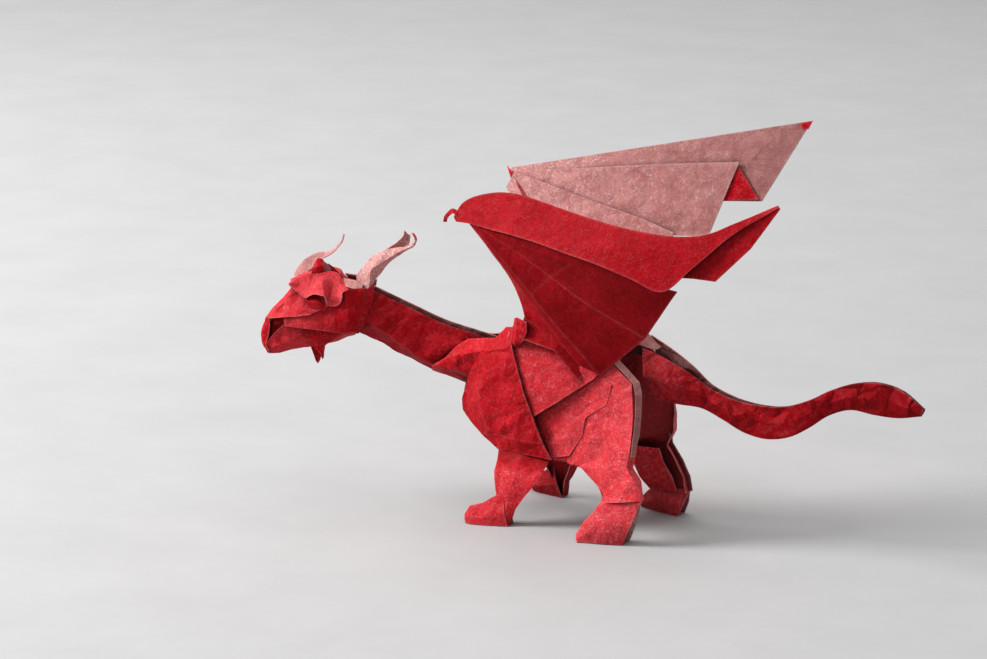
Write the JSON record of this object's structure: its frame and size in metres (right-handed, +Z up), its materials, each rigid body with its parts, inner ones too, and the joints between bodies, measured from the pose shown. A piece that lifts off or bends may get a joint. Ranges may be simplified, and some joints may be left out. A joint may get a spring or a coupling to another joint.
{
  "type": "origami dragon",
  "caption": "Four-legged winged dragon folded from one sheet of red fibrous paper, standing on flat folded feet with raised wings and a long tail.",
  "frame": {"origin": "middle of the box that holds the whole dragon, on the surface it stands on", "axes": "+X from the head to the tail, -Y is the dragon's left side, +Z up"},
  "size_m": [0.165, 0.0394, 0.0988],
  "materials": {
    "red_paper": "matt handmade paper, deep red with pale fibres; the reverse is dusty pink"
  },
  "bodies": {
    "root": {"folded_dragon": "red_paper"}
  },
  "joints": []
}
